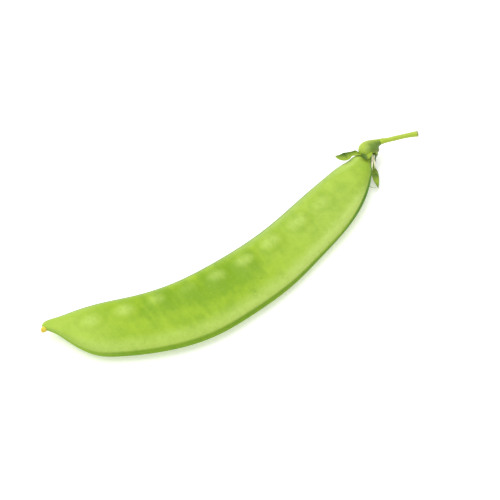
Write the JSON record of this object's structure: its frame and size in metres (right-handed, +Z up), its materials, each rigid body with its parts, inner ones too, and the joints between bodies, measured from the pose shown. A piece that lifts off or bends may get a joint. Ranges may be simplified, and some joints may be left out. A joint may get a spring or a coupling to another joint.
{
  "type": "snow pea pod",
  "caption": "Fresh flat green snow pea pod lying on its side, with its calyx, leafy lobes and a short stalk.",
  "frame": {"origin": "middle of the underside of the whole object's box, on the surface that the pod lies on", "axes": "+X along the pod from its beak to its stalk, +Y towards the seam that bears the seeds, +Z up through the flat faces"},
  "size_m": [0.108, 0.0272, 0.007],
  "materials": {
    "pod_flesh": "smooth green pod skin with a soft waxy sheen",
    "calyx_green": "matt green calyx cup",
    "stalk_green": "pale yellow-green stalk, softly glossy",
    "lobe_green": "thin matt darker green leafy lobe",
    "dried_straw": "dry straw-coloured threads",
    "dried_style": "dry yellow-brown style"
  },
  "bodies": {
    "root": {"pod": "pod_flesh", "withered_style": "dried_style", "calyx_cup": "calyx_green", "stalk": "stalk_green", "lobe_seed_side": "lobe_green", "lobe_top": "lobe_green", "lobe_back_torn": "lobe_green", "lobe_back_long": "lobe_green", "lobe_under": "lobe_green", "stamen_thread_upper": "dried_straw", "stamen_thread_outer": "dried_straw", "stamen_thread_curled": "dried_straw"}
  },
  "joints": []
}
